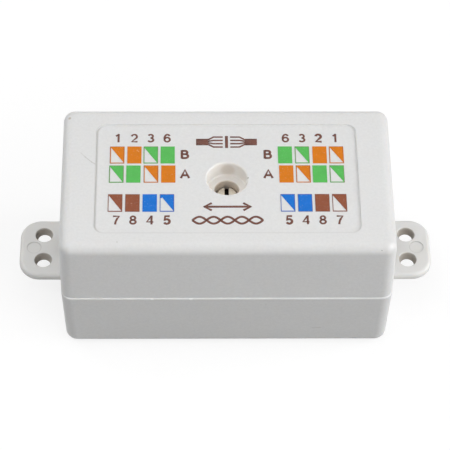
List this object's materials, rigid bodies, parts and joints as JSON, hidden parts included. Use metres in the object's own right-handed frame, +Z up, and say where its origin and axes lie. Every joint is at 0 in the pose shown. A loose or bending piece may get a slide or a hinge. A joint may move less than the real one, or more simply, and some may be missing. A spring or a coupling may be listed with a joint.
{
  "type": "ethernet junction box",
  "caption": "Small white junction box that joins two four-pair data cables end to end, with a screwed cover, a printed colour code and a tie-down ear at each end.",
  "frame": {"origin": "centre of the footprint, on the surface that the base stands on", "axes": "+X along the box from the left cable to the right cable, +Y to the back of the label, +Z up through the cover"},
  "size_m": [0.0846, 0.0368, 0.0316],
  "materials": {
    "housing": "moulded white, soft satin gloss",
    "screw_steel": "zinc-plated steel, dull",
    "board": "green solder mask on glass-epoxy laminate",
    "terminal_plastic": "moulded off-white, matt",
    "contact_metal": "tin-plated bronze, satin",
    "ink_orange": "pad-printed ink",
    "ink_green": "pad-printed ink",
    "ink_blue": "pad-printed ink",
    "ink_brown": "pad-printed ink"
  },
  "bodies": {
    "root": {"cover": "housing", "base": "housing", "cover_screw": "screw_steel", "circuit_board": "board", "terminal_block_left_back": "terminal_plastic", "contact_left_1": "contact_metal", "contact_left_2": "contact_metal", "contact_left_3": "contact_metal", "contact_left_6": "contact_metal", "terminal_block_left_front": "terminal_plastic", "contact_left_7": "contact_metal", "contact_left_8": "contact_metal", "contact_left_4": "contact_metal", "contact_left_5": "contact_metal", "terminal_block_right_back": "terminal_plastic", "contact_right_6": "contact_metal", "contact_right_3": "contact_metal", "contact_right_2": "contact_metal", "contact_right_1": "contact_metal", "terminal_block_right_front": "terminal_plastic", "contact_right_5": "contact_metal", "contact_right_4": "contact_metal", "contact_right_8": "contact_metal", "contact_right_7": "contact_metal", "print_orange": "ink_orange", "print_green": "ink_green", "print_blue": "ink_blue", "print_brown": "ink_brown"}
  },
  "joints": []
}
